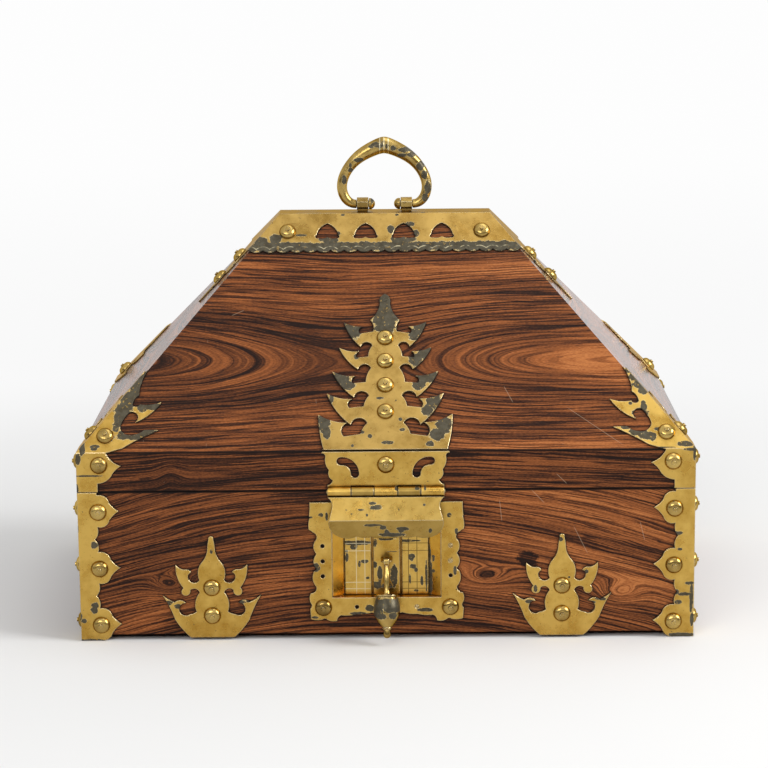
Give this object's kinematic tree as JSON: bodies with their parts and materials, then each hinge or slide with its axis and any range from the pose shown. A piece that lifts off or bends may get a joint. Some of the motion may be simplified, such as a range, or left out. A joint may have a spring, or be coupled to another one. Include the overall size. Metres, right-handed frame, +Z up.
{
  "type": "brass-mounted jewel chest",
  "caption": "Low rosewood jewel chest with a hipped lid, pierced sheet-brass mounts, a hinged hasp over a sliding lock front and a bail handle.",
  "frame": {"origin": "centre of the flat underside", "axes": "+X to the right along the length, +Y to the back, +Z up"},
  "size_m": [0.3676, 0.2555, 0.2837],
  "materials": {
    "rosewood": "polished reddish-brown rosewood with dark streaks",
    "sheet_brass": "aged sheet brass with dark patches",
    "cast_brass": "rubbed cast brass, dark in its hollows",
    "brass_rivets": "rubbed domed nail heads",
    "brass_pins": "drawn brass wire"
  },
  "bodies": {
    "base": {"base_front_board": "rosewood", "base_back_board": "rosewood", "base_left_board": "rosewood", "base_right_board": "rosewood", "base_bottom_board": "rosewood", "base_corner_rivets": "brass_rivets", "lock_plate": "sheet_brass", "lock_plate_rivets": "brass_rivets", "lock_tray": "sheet_brass", "lock_splay_left": "sheet_brass", "lock_splay_right": "sheet_brass", "lotus_mount_left": "sheet_brass", "lotus_mount_right": "sheet_brass", "lotus_rivets": "brass_rivets", "hinge_base_leaf_left": "sheet_brass", "hinge_base_leaf_right": "sheet_brass", "hinge_base_rivets": "brass_rivets", "hinge_pin_left": "brass_pins", "hinge_pin_right": "brass_pins", "base_corner_front_left": "sheet_brass", "base_corner_front_right": "sheet_brass", "base_corner_back_left": "sheet_brass", "base_corner_back_right": "sheet_brass"},
    "lid": {"lid_rim_front": "rosewood", "lid_rim_back": "rosewood", "lid_rim_left": "rosewood", "lid_rim_right": "rosewood", "lid_slope_front": "rosewood", "lid_slope_back": "rosewood", "lid_slope_left": "rosewood", "lid_slope_right": "rosewood", "lid_ridge_rail": "rosewood", "ridge_cap": "sheet_brass", "ridge_cap_rivets": "brass_rivets", "lid_crest": "sheet_brass", "crest_rivets": "brass_rivets", "hasp_rim_plate": "sheet_brass", "hasp_pin": "brass_pins", "lid_corner_rivets": "brass_rivets", "bail_post_left": "cast_brass", "bail_post_right": "cast_brass", "bail_post_washers": "brass_pins", "hinge_lid_leaf_left": "sheet_brass", "hinge_lid_leaf_right": "sheet_brass", "hinge_lid_rivets": "brass_rivets", "lid_corner_front_left": "sheet_brass", "lid_corner_front_right": "sheet_brass", "lid_corner_back_left": "sheet_brass", "lid_corner_back_right": "sheet_brass"},
    "hasp": {"hasp_flap": "sheet_brass", "hasp_loop": "sheet_brass"},
    "bail": {"bail_handle": "cast_brass"},
    "lock_slide": {"lock_slide": "sheet_brass", "pull_staple": "cast_brass"},
    "pull": {"drop_pull": "cast_brass"},
    "shutter_left": {"lock_shutter_left": "sheet_brass"},
    "shutter_right": {"lock_shutter_right": "sheet_brass"}
  },
  "joints": [
    {"name": "lid_hinge", "type": "hinge", "parent": "base", "child": "lid", "pos_m": [0, 0.1184, 0.0897], "axis": [-1, 0, 0], "range_deg": [0, 100]},
    {"name": "hasp_hinge", "type": "hinge", "parent": "lid", "child": "hasp", "pos_m": [0, -0.119, 0.0897], "axis": [-1, 0, 0], "range_deg": [0, 120]},
    {"name": "bail_hinge", "type": "hinge", "parent": "lid", "child": "bail", "pos_m": [0, 0, 0.2426], "axis": [1, 0, 0], "range_deg": [-92, 92]},
    {"name": "slide_lift", "type": "slide", "parent": "base", "child": "lock_slide", "axis": [0, 0, 1], "range_m": [0, 0.008]},
    {"name": "shutter_left_slide", "type": "slide", "parent": "base", "child": "shutter_left", "axis": [-1, 0, 0], "range_m": [0, 0.006]},
    {"name": "shutter_right_slide", "type": "slide", "parent": "base", "child": "shutter_right", "axis": [1, 0, 0], "range_m": [0, 0.006]},
    {"name": "pull_swing", "type": "hinge", "parent": "lock_slide", "child": "pull", "pos_m": [0, -0.1173, 0.0474], "axis": [-1, 0, 0], "range_deg": [0, 85]}
  ]
}
